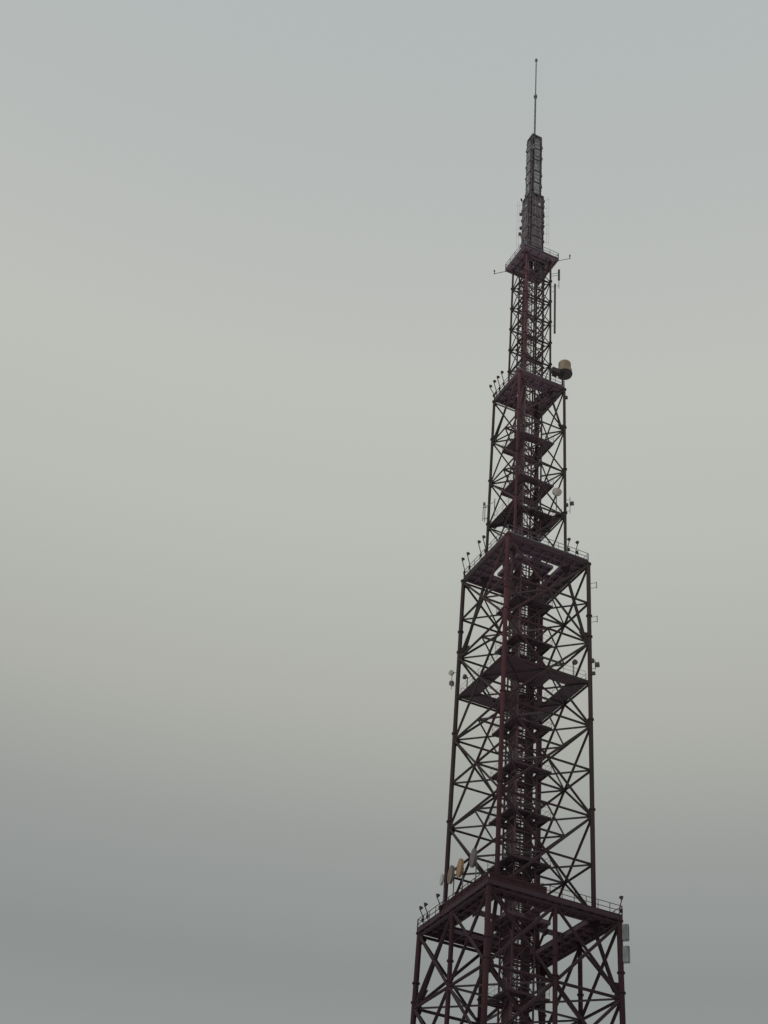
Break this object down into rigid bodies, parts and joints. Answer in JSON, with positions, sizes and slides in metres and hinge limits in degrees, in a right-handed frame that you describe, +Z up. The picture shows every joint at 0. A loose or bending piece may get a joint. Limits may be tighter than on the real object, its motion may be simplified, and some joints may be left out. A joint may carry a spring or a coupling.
{
  "type": "radio mast 1:10 scale model",
  "caption": "Tall free-standing steel lattice radio mast in stacked tapering sections, with platforms, a lift shaft and antennas, as a 1:10 scale model.",
  "frame": {"origin": "on the ground under the middle of the lift shaft, on the underside of the shaft's foundation block", "axes": "+Z up along the mast; the four faces of the mast look along +X, -X, +Y and -Y, with the front face towards -Y"},
  "size_m": [1.772, 1.772, 20.905],
  "materials": {
    "leg_paint": "weathered matt red oxide paint",
    "bracing_paint": "weathered matt red oxide paint",
    "deck_paint": "weathered matt red oxide paint",
    "galvanised": "dull galvanised steel",
    "concrete": "weathered concrete",
    "antenna_cover": "weathered grey cover",
    "radome_cover": "weathered tan cover"
  },
  "bodies": {
    "root": {"footings": "concrete", "base_legs": "leg_paint", "base_bracing_front": "bracing_paint", "base_bracing_right": "bracing_paint", "base_bracing_back": "bracing_paint", "base_bracing_left": "bracing_paint", "base_platform": "deck_paint", "base_railing": "galvanised", "lower_legs": "leg_paint", "lower_bracing_front": "bracing_paint", "lower_bracing_right": "bracing_paint", "lower_bracing_back": "bracing_paint", "lower_bracing_left": "bracing_paint", "lower_walkway": "deck_paint", "lower_platform": "deck_paint", "lower_railing": "galvanised", "middle_legs": "leg_paint", "middle_bracing_front": "bracing_paint", "middle_bracing_right": "bracing_paint", "middle_bracing_back": "bracing_paint", "middle_bracing_left": "bracing_paint", "middle_platform": "deck_paint", "middle_railing": "galvanised", "upper_legs": "leg_paint", "upper_bracing_front": "bracing_paint", "upper_bracing_right": "bracing_paint", "upper_bracing_back": "bracing_paint", "upper_bracing_left": "bracing_paint", "upper_platform": "deck_paint", "upper_railing": "galvanised", "shaft_front": "bracing_paint", "shaft_right": "bracing_paint", "shaft_back": "bracing_paint", "shaft_left": "bracing_paint", "plan_frames": "bracing_paint", "landings": "deck_paint", "struts": "leg_paint", "wide_column": "leg_paint", "wide_panels": "antenna_cover", "slim_column": "leg_paint", "slim_panels": "antenna_cover", "top_pole": "galvanised", "lamps": "leg_paint", "radome": "radome_cover", "dishes": "radome_cover", "antennas": "leg_paint"}
  },
  "joints": []
}
